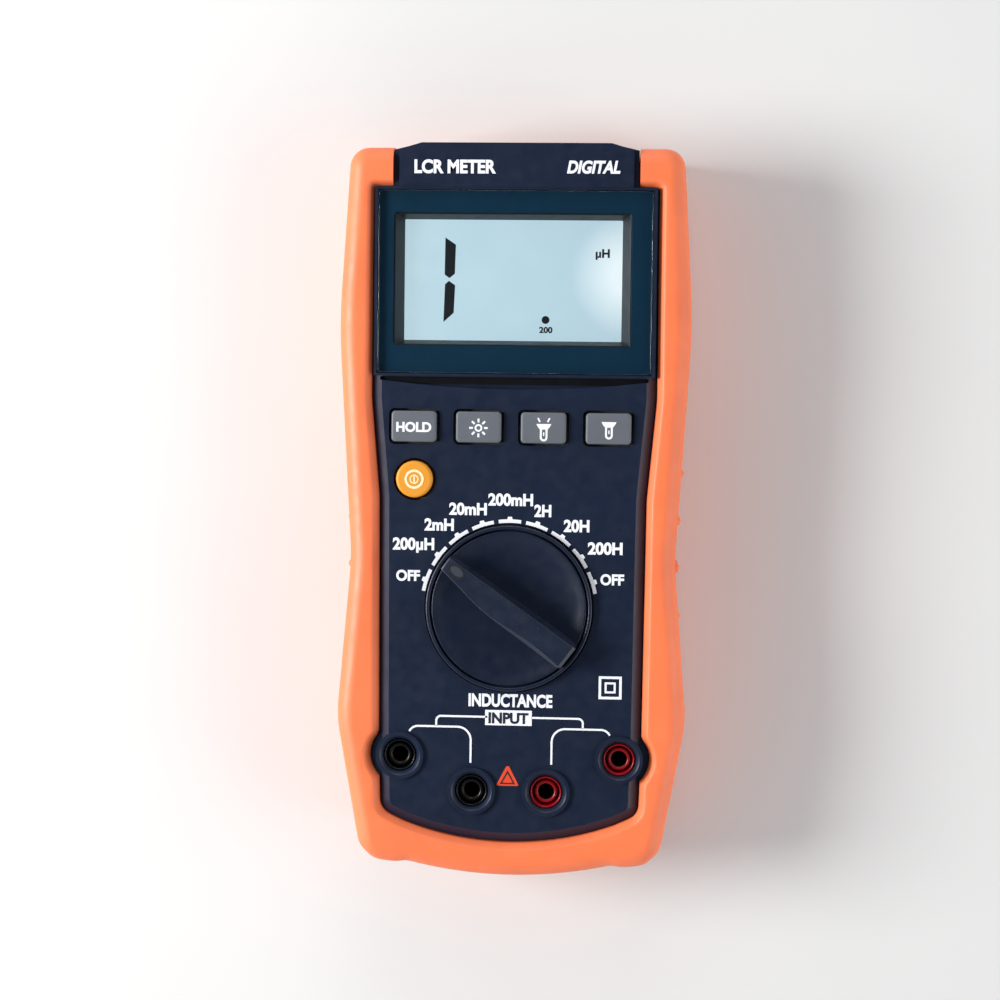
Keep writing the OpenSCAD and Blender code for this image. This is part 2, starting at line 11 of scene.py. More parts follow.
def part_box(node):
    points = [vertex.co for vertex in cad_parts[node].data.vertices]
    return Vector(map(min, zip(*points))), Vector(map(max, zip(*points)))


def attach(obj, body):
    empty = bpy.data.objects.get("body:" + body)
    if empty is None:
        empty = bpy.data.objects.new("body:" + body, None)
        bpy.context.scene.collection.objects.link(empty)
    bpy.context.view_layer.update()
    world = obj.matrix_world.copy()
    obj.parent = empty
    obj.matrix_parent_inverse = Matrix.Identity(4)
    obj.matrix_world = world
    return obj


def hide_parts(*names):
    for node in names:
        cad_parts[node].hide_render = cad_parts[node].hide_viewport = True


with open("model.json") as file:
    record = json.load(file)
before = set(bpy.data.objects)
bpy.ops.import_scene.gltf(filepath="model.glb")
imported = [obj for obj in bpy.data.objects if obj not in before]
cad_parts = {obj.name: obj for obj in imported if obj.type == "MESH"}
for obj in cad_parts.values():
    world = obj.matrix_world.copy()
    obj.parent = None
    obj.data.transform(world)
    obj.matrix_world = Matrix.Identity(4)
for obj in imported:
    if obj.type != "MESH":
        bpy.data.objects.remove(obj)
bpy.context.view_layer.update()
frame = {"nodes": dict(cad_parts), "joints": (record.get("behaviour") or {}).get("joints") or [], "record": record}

MM = 0.001
nodes = frame["nodes"]
record = frame["record"]


def box(node):
    """Lowest and highest corner of a CAD node, in millimetres."""
    low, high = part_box(node)
    return Vector(low) / MM, Vector(high) / MM


def middle(node):
    low, high = box(node)
    return (low + high) / 2


def mount(name):
    """Place of one of the record's mounts, in millimetres."""
    found = next(m for m in record["mounts"] if m["name"] == name)
    return Vector(found["pos_m"]) / MM


# ---- Places and sizes, in millimetres ----

HOLSTER_TOP = box("holster")[1].z
EAR_TOP = box("holster")[1].y
BOTTOM = box("holster")[0].y
PANEL_Z = 35.0
LIP_Z = 31.4                # underside of the holster's front lip
CHAMFER_Z = 33.7            # foot of the chamfer round the holster's opening
EAR_X = 31.1                # inner edge of the holster's ears
EAR_Y = 82.5                # foot of the holster's ears
GAP_Z = 14.0                # bottom of the cut-out between the ears
LOBE_R = 7.7
GROOVE_Z = 33.4             # floor of the groove under the display
TUBE_R = 4.1                # insulating tube of a jack
FOOT = Vector((31.2, -87.6))
INK = 0.05                  # thickness of printed marks
RIB_R = 1.15
RIB_LOW, RIB_HIGH = 8, 27   # lower and upper end of a grip rib
HOLSTER_BACK = 1.8          # thickness of the holster's back
HOLSTER_WALL = 2.9
FLANGE = 1.2                # how far a key's flange reaches past its cap
FLANGE_LOW, FLANGE_TOP = 30.6, 31.55
SLEEVE_R = 2.61             # clear hole round a jack's metal sleeve
SHOULDER_Z = 35.4           # top of the case between the holster's ears

VIEW = middle("lcd_panel")
LCD_Z = box("lcd_panel")[1].z
range_turn = next(j for j in frame["joints"] if j["name"] == "range_turn")
DIAL = Vector(range_turn["pos_m"]).xy / MM
DIAL_R = (box("range_dial")[1].x - box("range_dial")[0].x) / 2
DIAL_TOP = box("range_dial")[1].z
POINTER = math.radians(143)   # where the dial points at rest
BODY_SLOT = {
    "housing": "case_plastic", "hold_button": "key_plastic", "backlight_button": "key_plastic",
    "torch_on_button": "key_plastic", "torch_off_button": "key_plastic", "power_button": "power_key_plastic",
}
OUTER_JACK = mount("input_socket_red_outer")
INNER_JACK = mount("input_socket_red_inner")


# ---- Outlines ----

def rounded(corners, steps=12):
    """Closed outline through [x, y, radius] corners, with an arc at each."""
    points = []
    count = len(corners)
    for i, (x, y, r) in enumerate(corners):
        p = Vector((x, y))
        if r <= 0:
            points.append(p)
            continue
        u = (Vector(corners[i - 1][:2]) - p).normalized()
        v = (Vector(corners[(i + 1) % count][:2]) - p).normalized()
        half = u.angle(v) / 2
        centre = p + (u + v).normalized() * r / math.sin(half)
        start = p + u * r / math.tan(half) - centre
        turn = math.pi - 2 * half
        if u.x * v.y - u.y * v.x > 0:
            turn = -turn
        points += [centre + Matrix.Rotation(turn * k / steps, 2) @ start for k in range(steps + 1)]
    return points


def both_sides(half):
    """Closed outline from its right-hand half, given from top to bottom."""
    return half + [(-x, y, r) for x, y, r in reversed(half) if x > 0.01]


def inset(points, d):
    """A clockwise outline moved inwards by d."""
    moved = []
    for i, p in enumerate(points):
        u = (p - points[i - 1]).normalized()
        v = (points[(i + 1) % len(points)] - p).normalized()
        nu, nv = Vector((u.y, -u.x)), Vector((v.y, -v.x))
        moved.append(p + (nu + nv) * d / (1 + nu.dot(nv)))
    return moved


def bottom_arc(x, y, r, steps):
    xs = [x * (1 - i / steps) for i in range(steps + 1)]
    return [(t, y + r - math.sqrt(r * r - t * t), 0) for t in xs]


def body_line(d):
    half = [(42.2, EAR_TOP, max(5, d + 1)), (44.9, 48, 150), (41.4, -12, 60), (44.8, -53, 30)]
    half += [(38.4, BOTTOM + 4.6, max(6, d + 1))] + bottom_arc(27, BOTTOM, 112, 14)
    return inset(rounded(both_sides(half)), d)


def opening_line(d):
    half = [(36, EAR_Y, 0.8), (36.2, 29, 30), (34, 4, 15), (33.6, -56, 60), (33.1, -76.6, 4)]
    half += bottom_arc(27, -84.4, 76, 14)
    return inset(rounded(both_sides(half)), d)


def window_line(d):
    half = [(29, 70, 8), (29, -82, 8)]
    return inset(rounded(both_sides(half)), d)


def resample(points, corners, counts):
    """Points at even steps along an outline, from its top middle, with a point at each given corner."""
    start = Vector((0, max(p.y for p in points)))
    right = [p for p in points if p.x > 0.01 or (abs(p.x) <= 0.01 and p.y < 0)]
    path = [start] + right
    stops = [0]
    for c in corners:
        stops.append(min(range(len(path)), key=lambda i: (path[i] - Vector(c)).length))
    stops.append(len(path) - 1)
    half = []
    for (a, b), count in zip(zip(stops, stops[1:]), counts):
        piece = path[a:b + 1]
        lengths = [0.0]
        for p, q in zip(piece, piece[1:]):
            lengths.append(lengths[-1] + (q - p).length)
        for k in range(count):
            t = lengths[-1] * k / count
            i = max(j for j in range(len(lengths) - 1) if lengths[j] <= t + 1e-9)
            f = (t - lengths[i]) / max(lengths[i + 1] - lengths[i], 1e-9)
            half.append(piece[i].lerp(piece[i + 1], f))
    half.append(path[-1])
    left = [Vector((-p.x, p.y)) for p in reversed(half[1:-1])]
    return half + left


COUNTS = (32, 150, 34)      # points along the top, side and bottom of half an outline


def swell(points, centre, reach, height, rise=1.0):
    """Pushes an outline out round centre, on both sides, in a smooth bulge."""
    out = []
    for i, p in enumerate(points):
        a, b = points[i - 1], points[(i + 1) % len(points)]
        t = (b - a).normalized()
        n = Vector((-t.y, t.x))
        near = (Vector((abs(p.x), p.y)) - centre).length / reach
        k = max(0.0, 1 - near * near)
        out.append(p + n * height * rise * k * k * (3 - 2 * k))
    return out


def outer_ring(d, foot=1.0):
    line = body_line(d)
    ring = resample(line, [(42.2 - d, EAR_TOP - d), (38.4 - d, BOTTOM + 4.6 + d)], COUNTS)
    return swell(ring, FOOT, 6.0, 0.9, foot)


def lobe(points, r):
    """Widens an outline round the outer jacks."""
    out = []
    for p in points:
        side = 1 if p.x > 0 else -1
        dy = p.y - OUTER_JACK.y
        x = abs(p.x)
        if abs(dy) < r and x > 20:
            reach = OUTER_JACK.x + math.sqrt(r * r - dy * dy)
            x = max(x, reach)
        out.append(Vector((side * x, p.y)))
    return out


def opening_ring(d):
    line = opening_line(d)
    ring = resample(line, [(36 - d, EAR_Y - d), (33.1 - d, -76.6 + d)], COUNTS)
    return lobe(ring, LOBE_R - d)


def window_ring(d):
    return resample(window_line(d), [(29 - d, 70 - d), (29 - d, -82 + d)], COUNTS)


# ---- Meshes ----

def add(name, vertices, faces, body, slot, material, smooth=True):
    """A new piece from millimetre vertices, riding on a CAD body."""
    mesh = bpy.data.meshes.new(name)
    mesh.from_pydata([Vector(v) * MM for v in vertices], [], faces)
    mesh.validate()
    piece = bpy.data.objects.new(name, mesh)
    bpy.context.scene.collection.objects.link(piece)
    mesh.materials.append(material)
    if smooth:
        mesh.shade_smooth()
    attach(piece, body)
    return piece


def loft(rings, closed=False):
    """Vertices and faces through rings of (outline, height)."""
    count = len(rings[0][0])
    vertices = [(p.x, p.y, z) for outline, z in rings for p in outline]
    faces = []
    last = len(rings) if closed else len(rings) - 1
    for j in range(last):
        a, b = j * count, (j + 1) % len(rings) * count
        for i in range(count):
            k = (i + 1) % count
            faces.append((a + i, a + k, b + k, b + i))
    if not closed:
        faces.append(tuple(reversed(range(count))))
        faces.append(tuple((len(rings) - 1) * count + i for i in range(count)))
    return vertices, faces


def normals_out(piece):
    work = bmesh.new()
    work.from_mesh(piece.data)
    bmesh.ops.recalc_face_normals(work, faces=work.faces)
    work.to_mesh(piece.data)
    work.free()


def apply_modifiers(piece):
    """Bakes a piece's modifiers into its mesh."""
    graph = bpy.context.evaluated_depsgraph_get()
    done = bpy.data.meshes.new_from_object(piece.evaluated_get(graph))
    piece.modifiers.clear()
    piece.data = done


def cut(piece, vertices, faces):
    """Takes a closed shape out of a piece."""
    mesh = bpy.data.meshes.new("cutter")
    mesh.from_pydata([Vector(v) * MM for v in vertices], [], faces)
    cutter = bpy.data.objects.new("cutter", mesh)
    bpy.context.scene.collection.objects.link(cutter)
    normals_out(cutter)
    difference = piece.modifiers.new("cut", "BOOLEAN")
    difference.operation = "DIFFERENCE"
    difference.solver = "EXACT"
    difference.object = cutter
    apply_modifiers(piece)
    bpy.data.objects.remove(cutter)


def bevel(piece, width, segments=3, angle=35):
    """Rounds a piece's sharp edges and evens out its shading."""
    edge = piece.modifiers.new("bevel", "BEVEL")
    edge.width = width * MM
    edge.segments = segments
    edge.limit_method = "ANGLE"
    edge.angle_limit = math.radians(angle)
    edge.use_clamp_overlap = True
    edge.harden_normals = False
    even = piece.modifiers.new("even", "WEIGHTED_NORMAL")
    even.keep_sharp = True


def block(low, high):
    """Vertices and faces of a block."""
    vertices = [(x, y, z) for z in (low[2], high[2]) for y in (low[1], high[1]) for x in (low[0], high[0])]
    faces = [(0, 2, 3, 1), (4, 5, 7, 6), (0, 1, 5, 4), (2, 6, 7, 3), (0, 4, 6, 2), (1, 3, 7, 5)]
    return vertices, faces


def revolve(profile, steps=96, closed=False):
    """Vertices and faces of a (radius, height) profile turned round z, for a solid or a closed ring."""
    vertices, rows = [], []
    for r, z in profile:
        if r < 1e-6:
            rows.append([len(vertices)])
            vertices.append((0, 0, z))
        else:
            rows.append(list(range(len(vertices), len(vertices) + steps)))
            vertices += [(r * math.cos(2 * math.pi * k / steps), r * math.sin(2 * math.pi * k / steps), z)
                         for k in range(steps)]
    faces = []
    for a, b in zip(rows, rows[1:] + rows[:1] if closed else rows[1:]):
        for k in range(steps):
            n = (k + 1) % steps
            face = [a[k % len(a)], a[n % len(a)], b[n % len(b)], b[k % len(b)]]
            faces.append(tuple(dict.fromkeys(face)))
    return vertices, [f for f in faces if len(f) > 2]


def shifted(vertices, x, y):
    """Vertices shifted across the panel."""
    return [(x + vx, y + vy, vz) for vx, vy, vz in vertices]


def around(count, start=0.0):
    """Angles of evenly spaced points round a full turn."""
    return [math.radians(start + 360 * k / count) for k in range(count)]


def sweep(count, start, turn):
    """Angles of points from start through turn degrees, both ends included."""
    return [math.radians(start + turn * k / (count - 1)) for k in range(count)]


def ray(t, r=1.0):
    return Vector((r * math.cos(t), r * math.sin(t)))


def circle(centre, r, count=36):
    return [centre + ray(t, r) for t in around(count)]


def prism(outline, low, high):
    """Vertices and faces of a flat outline between two heights."""
    return loft([(outline, low), (outline, high)])


def band(path, width, low, high, closed=False):
    """Vertices and faces of a strip of even width along a flat path, between two heights."""
    path = [Vector(p) for p in path]
    vertices, count = [], len(path)
    for i, p in enumerate(path):
        before = path[i - 1] if closed or i else p + (p - path[i + 1])
        after = path[(i + 1) % count] if closed or i < count - 1 else p + (p - path[i - 1])
        u, v = (p - before).normalized(), (after - p).normalized()
        nu, nv = Vector((-u.y, u.x)), Vector((-v.y, v.x))
        side = (nu + nv) * width / 2 / (1 + nu.dot(nv))
        for q, z in ((p - side, low), (p + side, low), (p + side, high), (p - side, high)):
            vertices.append((q.x, q.y, z))
    faces = []
    for i in range(count if closed else count - 1):
        a, b = 4 * i, 4 * ((i + 1) % count)
        faces += [(a + k, a + (k + 1) % 4, b + (k + 1) % 4, b + k) for k in range(4)]
    if not closed:
        faces += [(3, 2, 1, 0), tuple(4 * (count - 1) + k for k in range(4))]
    return vertices, faces


def join(shapes):
    """Several (vertices, faces) as one."""
    vertices, faces = [], []
    for some, their_faces in shapes:
        start = len(vertices)
        vertices += [tuple(v) for v in some]
        faces += [tuple(start + i for i in face) for face in their_faces]
    return vertices, faces


def film(z, above=0.0):
    """Lower and upper height of a film of ink on a surface at z."""
    return z - 0.02, z + INK + above


def words(text, centre, width, height, z, slant=0.0, weight=0.04):
    """Vertices and faces of printed words, their capitals fitted to width and height round centre."""
    curve = bpy.data.curves.new("words", "FONT")
    curve.body = text
    curve.extrude = 0.5
    curve.offset = weight
    curve.resolution_u = 6
    curve.shear = slant
    item = bpy.data.objects.new("words", curve)
    bpy.context.scene.collection.objects.link(item)
    mesh = bpy.data.meshes.new_from_object(item.evaluated_get(bpy.context.evaluated_depsgraph_get()))
    low, high = film(z)
    xs = [v.co.x for v in mesh.vertices]
    scale = Vector((width / (max(xs) - min(xs)), height / max(v.co.y for v in mesh.vertices)))
    shift = Vector((centre[0] - scale.x * (max(xs) + min(xs)) / 2, centre[1] - height / 2))
    vertices = [(shift.x + scale.x * v.co.x, shift.y + scale.y * v.co.y, high if v.co.z > 0 else low)
                for v in mesh.vertices]
    faces = [tuple(f.vertices) for f in mesh.polygons]
    bpy.data.objects.remove(item)
    return vertices, faces


def printed(name, shapes, material, body="housing"):
    """A piece of ink from flat shapes."""
    piece = add(name, *join(shapes), body, BODY_SLOT[body], material, smooth=False)
    normals_out(piece)
    return piece


# ---- Materials ----

def linear(colour):
    """Linear colour from 0 to 255 display values."""
    values = [c / 255 for c in colour]
    return [v / 12.92 if v <= 0.04045 else ((v + 0.055) / 1.055) ** 2.4 for v in values] + [1.0]


class Look:
    """A material under construction. Numbers, colours and other nodes' outputs can all fill a socket."""

    def __init__(self, name):
        self.material = bpy.data.materials.new(name)
        self.material.use_nodes = True
        self.tree = self.material.node_tree
        self.shader = self.tree.nodes["Principled BSDF"]
        self.place = self.node("ShaderNodeTexCoord").outputs["Object"]

    def node(self, kind, **settings):
        made = self.tree.nodes.new(kind)
        for key, value in settings.items():
            if key in made.inputs:
                self.fill(made.inputs[key], value)
            else:
                setattr(made, key, value)
        return made

    def fill(self, socket, value):
        if isinstance(value, bpy.types.NodeSocket):
            self.tree.links.new(value, socket)
        else:
            socket.default_value = value

    def set(self, **sockets):
        for name, value in sockets.items():
            self.fill(self.shader.inputs[name.replace("_", " ")], value)

    def noise(self, size_mm, detail=2.0, rough=0.5):
        """Noise between 0 and 1 with features of about size_mm."""
        found = self.node("ShaderNodeTexNoise", Scale=1 / (size_mm * MM), Detail=detail, Roughness=rough)
        self.fill(found.inputs["Vector"], self.place)
        return found.outputs["Fac"]

    def spread(self, value, low, high, out_low, out_high):
        found = self.node("ShaderNodeMapRange")
        for key, number in zip(("From Min", "From Max", "To Min", "To Max"), (low, high, out_low, out_high)):
            found.inputs[key].default_value = number
        self.fill(found.inputs["Value"], value)
        return found.outputs["Result"]

    def mix(self, factor, a, b, blend="MIX"):
        found = self.node("ShaderNodeMix", data_type="RGBA", blend_type=blend)
        self.fill(found.inputs["Factor"], factor)
        colour_sockets = [s for s in found.inputs if s.type == "RGBA"]
        self.fill(colour_sockets[0], a)
        self.fill(colour_sockets[1], b)
        return next(s for s in found.outputs if s.type == "RGBA")

    def bump(self, height, depth_mm, strength=1.0, under=None):
        found = self.node("ShaderNodeBump", Strength=strength, Distance=depth_mm * MM)
        self.fill(found.inputs["Height"], height)
        if under is not None:
            self.fill(found.inputs["Normal"], under)
        return found.outputs["Normal"]


def shade(colour, k):
    return [min(1.0, c * k) for c in colour[:3]] + [1.0]


def moulded(name, colour, rough, grain=0.25, depth=0.02, tone=0.08, spots=0.0, gloss=0.5):
    """Moulded plastic or rubber: spark-eroded grain, slow colour drift and fine dust."""
    look = Look(name)
    base = linear(colour)
    drift = look.spread(look.noise(14, 3), 0.3, 0.7, 0, 1)
    tint = look.mix(drift, shade(base, 1 - tone), shade(base, 1 + tone))
    if spots:
        dust = look.spread(look.noise(0.5, 4, 0.7), 0.62, 0.72, 0, spots)
        tint = look.mix(dust, tint, shade([c + 0.1 for c in base], 1.25))
    look.set(Base_Color=tint)
    look.set(Roughness=look.spread(look.noise(3, 4), 0.3, 0.7, rough - 0.05, rough + 0.06))
    fine = look.noise(grain, 3, 0.6)
    look.set(Normal=look.bump(fine, depth, 0.6), Specular_IOR_Level=gloss)
    return look


def holster_rubber():
    look = moulded("holster_rubber", (246, 121, 71), 0.5, 0.35, 0.03, 0.06, 0.1, 0.6)
    look.set(Subsurface_Weight=0.08)
    look.shader.inputs["Subsurface Radius"].default_value = (0.004, 0.0015, 0.0006)
    return look.material


def metal(name, colour, rough, brush=0.6):
    look = Look(name)
    base = linear(colour)
    streak = look.noise(brush, 5, 0.7)
    look.set(Base_Color=look.mix(streak, shade(base, 0.85), shade(base, 1.1)))
    look.set(Metallic=1.0, Roughness=look.spread(streak, 0.3, 0.7, rough - 0.08, rough + 0.1))
    look.set(Normal=look.bump(streak, 0.01, 0.3))
    return look.material


def clear_window():
    """Thin clear plastic: gloss that grows towards its edges over a clear layer, with faint smears."""
    look = Look("clear_window")
    tree = look.tree
    smear = look.spread(look.noise(6, 5, 0.6), 0.4, 0.75, 0.03, 0.09)
    look.set(Base_Color=(0.9, 0.96, 1.0, 1), Roughness=smear, Alpha=1.0, Metallic=0.0)
    gloss = look.node("ShaderNodeBsdfGlossy")
    look.fill(gloss.inputs["Roughness"], smear)
    clear = look.node("ShaderNodeBsdfTransparent")
    clear.inputs["Color"].default_value = (0.93, 0.97, 0.985, 1)
    facing = look.node("ShaderNodeLayerWeight", Blend=0.5)
    edge = look.node("ShaderNodeMath", operation="POWER")
    tree.links.new(facing.outputs["Facing"], edge.inputs[0])
    edge.inputs[1].default_value = 5
    both = look.node("ShaderNodeMixShader")
    tree.links.new(look.spread(edge.outputs[0], 0, 1, 0.035, 1), both.inputs[0])
    tree.links.new(clear.outputs[0], both.inputs[1])
    tree.links.new(gloss.outputs[0], both.inputs[2])
    out = next(n for n in tree.nodes if n.type == "OUTPUT_MATERIAL")
    tree.links.new(both.outputs[0], out.inputs["Surface"])
    return look.material


def lcd_face():
    """Backlit liquid-crystal glass, brighter beside its lamp on the right."""
    look = Look("lcd_face")
    split = look.node("ShaderNodeSeparateXYZ", Vector=look.place)
    side = look.spread(split.outputs["X"], (VIEW.x + 20) * MM, (VIEW.x - 30) * MM, 0, 1)
    away = look.node("ShaderNodeVectorMath", operation="DISTANCE")
    look.fill(away.inputs[0], look.place)
    away.inputs[1].default_value = [(VIEW.x + 30.5) * MM, (VIEW.y + 1.5) * MM, LCD_Z * MM]
    beside_lamp = look.spread(away.outputs["Value"], 16 * MM, 5 * MM, 0, 1)
    cloud = look.noise(9, 2)
    glow = look.mix(side, linear((194, 213, 221)), linear((206, 226, 232)))
    glow = look.mix(look.spread(cloud, 0.3, 0.7, 0, 0.35), glow, linear((186, 208, 218)))
    grain = look.spread(look.noise(0.3, 2), 0.3, 0.7, 0, 0.06)
    glow = look.mix(grain, glow, linear((120, 150, 170)))
    glow = look.mix(beside_lamp, glow, linear((252, 255, 255)))
    look.set(Base_Color=linear((84, 98, 104)), Roughness=0.4)
    look.set(Emission_Color=glow, Emission_Strength=0.96)
    return look.material


def board():
    look = Look("board")
    mask = linear((20, 92, 52))
    cell = look.node("ShaderNodeTexVoronoi", Scale=1 / (2.2 * MM), feature="DISTANCE_TO_EDGE")
    look.fill(cell.inputs["Vector"], look.place)
    trace = look.spread(cell.outputs["Distance"], 0.06, 0.1, 1, 0)
    tint = look.mix(trace, mask, shade(mask, 1.7))
    look.set(Base_Color=tint, Roughness=look.spread(look.noise(2, 3), 0.3, 0.7, 0.25, 0.4))
    look.set(Normal=look.bump(trace, 0.03, 0.5))
    return look.material


def ink(name, colour, rough=0.45):
    """Screen-printed ink with slightly uneven cover."""
    look = Look(name)
    base = linear(colour)
    cover = look.spread(look.noise(0.35, 4, 0.7), 0.35, 0.75, 0, 0.25)
    look.set(Base_Color=look.mix(cover, base, shade(base, 0.8)), Roughness=rough)
    look.set(Normal=look.bump(look.noise(0.3, 3), 0.01, 0.4))
    return look.material


def segment_ink():
    look = Look("lcd_segment")
    drift = look.spread(look.noise(3, 3), 0.3, 0.7, 0, 1)
    look.set(Base_Color=look.mix(drift, linear((2, 3, 9)), linear((5, 7, 14))), Roughness=0.5)
    return look.material


# colour, roughness, grain and its depth, tone, dust, gloss, with the defaults of moulded where they stop
MOULDED = {
    "case_plastic": ((21, 31, 51), 0.38, 0.22, 0.025, 0.09, 0.14, 0.38),
    "mask_print": ((9, 46, 66), 0.45, 0.6, 0.001, 0.04, 0.0, 0.2),
    "bezel_plastic": ((9, 15, 22), 0.45, 0.3, 0.01),
    "diffuser": ((240, 244, 250), 0.4, 1.0, 0.005, 0.03),
    "led_white": ((240, 240, 220), 0.25, 1.0, 0.005, 0.04),
    "zebra_rubber": ((180, 180, 188), 0.6, 0.2, 0.02),
    "black_plastic": ((10, 11, 15), 0.5, 0.2, 0.02, 0.08, 0.0, 0.15),
    "capacitor_sleeve": ((30, 44, 110), 0.25, 0.6, 0.01),
    "fuse_ceramic": ((224, 222, 208), 0.25, 0.6, 0.01),
    "dial_plastic": ((19, 28, 47), 0.34, 0.2, 0.015, 0.09, 0.06, 0.5),
    "rotor_plastic": ((222, 216, 198), 0.45),
    "key_plastic": ((97, 101, 108), 0.45, 0.25, 0.02, 0.04, 0.06, 0.4),
    "power_key_plastic": ((226, 150, 46), 0.42, 0.25, 0.02, 0.04, 0.04, 0.4),
    "jack_black": ((6, 7, 11), 0.3, 0.6, 0.01, 0.1, 0.0, 0.3),
    "jack_red": ((132, 6, 18), 0.3, 0.6, 0.01, 0.1, 0.0, 0.35),
    "battery_wrap": ((38, 42, 52), 0.3, 0.8, 0.01),
    "lead_insulation": ((150, 24, 26), 0.35, 0.5, 0.01),
    "stand_plastic": ((30, 35, 48), 0.5, 0.25, 0.03, 0.06, 0.1, 0.3),
}
materials = {name: moulded(name, *values).material for name, values in MOULDED.items()}
materials.update({
    "holster_rubber": holster_rubber(),
    "clear_window": clear_window(),
    "lcd_face": lcd_face(),
    "board": board(),
    "steel": metal("steel", (186, 188, 194), 0.3),
    "brass": metal("brass", (112, 84, 44), 0.35),
    "plate_foil": metal("plate_foil", (190, 192, 196), 0.35, 0.2),
})
WHITE_INK = ink("white_ink", (242, 244, 248))
DARK_INK = ink("dark_ink", (28, 34, 50))
AMBER_INK = ink("amber_ink", (224, 74, 36))
CREAM_INK = ink("cream_ink", (250, 232, 190))
# painted shade: black for the shaded edge of the recess round the dial's pointer oval
POINTER_RECESS_SHADE = ink("pointer_recess_shade", (4, 5, 8), 0.6)
GREY_INK = ink("grey_ink", (44, 50, 64), 0.6)
SEGMENT = segment_ink()


# ---- CAD nodes that stay in sight ----

SOFT_EDGE = {
    "front_case": 0.3, "rear_case": 0.3, "lcd_bezel": 0.2, "display_window": 0.25, "hold_key": 0.35,
    "backlight_key": 0.35, "torch_on_key": 0.35, "torch_off_key": 0.35, "power_key": 0.4, "tilt_stand": 0.4,
    "battery_door": 0.25,
}


def dress_cad():
    """Gives every CAD node its material, welds it, rounds its edges and smooths its shading."""
    slots = {s["node"]: s["material_slot"] for s in record["subparts"]}
    for name, piece in nodes.items():
        piece.data.materials.clear()
        piece.data.materials.append(materials[slots[name]])
        if "custom_normal" in piece.data.attributes:
            piece.data.attributes.remove(piece.data.attributes["custom_normal"])
        piece.data.shade_smooth()
        weld = piece.modifiers.new("weld", "WELD")
        weld.merge_threshold = 0.004 * MM
        flat = piece.modifiers.new("flat", "DECIMATE")
        flat.decimate_type = "DISSOLVE"
        flat.angle_limit = math.radians(0.6)
        bevel(piece, SOFT_EDGE.get(name, 0.12), 2, 32)


dress_cad()


# ---- Holster ----

def edge_curve(r, start, end, steps):
    """(inwards, down) steps round a quarter turn of radius r, between two angles in degrees."""
    turns = [math.radians(start + (end - start) * k / steps) for k in range(steps + 1)]
    return [(r - r * math.sin(t), r - r * math.cos(t)) for t in turns]


def make_holster():
    top, chamfer = HOLSTER_TOP, 1.5
    rings = [(opening_ring(0), LIP_Z), (opening_ring(0), CHAMFER_Z - 0.25), (opening_ring(-0.15), CHAMFER_Z)]
    rings += [(opening_ring(-chamfer + 0.2), top - 0.3), (opening_ring(-chamfer - 0.15), top - 0.12)]
    rings += [(opening_ring(-chamfer - 0.7), top - 0.05)]
    for inwards, down in edge_curve(4.6, 0, 90, 12):
        rings.append((outer_ring(inwards * 0.96), top - down - 0.02))
    rings += [(outer_ring(0), 28), (outer_ring(0), 18), (outer_ring(0), 8)]
    for inwards, down in reversed(edge_curve(2.4, 0, 90, 6)):
        rings.append((outer_ring(inwards, 0.4 if down < 1 else 1.0), down))
    rings += [(window_ring(0), 0), (window_ring(0), HOLSTER_BACK)]
    rings += [(outer_ring(HOLSTER_WALL, 0), HOLSTER_BACK), (outer_ring(HOLSTER_WALL, 0), LIP_Z)]
    vertices, faces = loft(rings, closed=True)
    piece = add("holster_shell", vertices, faces, "housing", "holster_rubber", materials["holster_rubber"])
    normals_out(piece)
    cut(piece, *block((-EAR_X, EAR_Y - 0.3, GAP_Z), (EAR_X, EAR_TOP + 10, top + 5)))
    piece.data.shade_smooth()
    bevel(piece, 0.35, 3, 38)
    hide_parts("holster")


def rib_profile():
    """(radius, height) points of an upright rod with rounded ends."""
    points = [(0, RIB_LOW)]
    for end, turns in ((RIB_LOW + RIB_R, (25, 50, 75, 90)), (RIB_HIGH - RIB_R, (90, 105, 130, 155))):
        points += [(RIB_R * math.sin(t), end - RIB_R * math.cos(t)) for t in map(math.radians, turns)]
    return points + [(0, RIB_HIGH)]


def make_ribs():
    """Grip ribs on both long sides, along the waist of the holster."""
    count, first, pitch = 6, 10.5, 12.2
    waist = Vector((41.6, -12))
    vertices, faces = revolve(rib_profile(), 20)
    shapes = []
    for side in (-1, 1):
        for k in range(count):
            y = first - pitch * k
            x = waist.x + 2.1 * ((y - waist.y) / 39) ** 2
            shapes.append((shifted(vertices, side * x, y), faces))
    piece = add("holster_ribs", *join(shapes), "housing", "holster_rubber", materials["holster_rubber"])
    normals_out(piece)


# ---- Range dial ----

def dial_frame(points):
    """Points given along and across the pointer, turned and moved to the dial's place."""
    c, s = math.cos(POINTER), math.sin(POINTER)
    return [(DIAL.x + u * c - v * s, DIAL.y + u * s + v * c, z) for u, v, z in points]


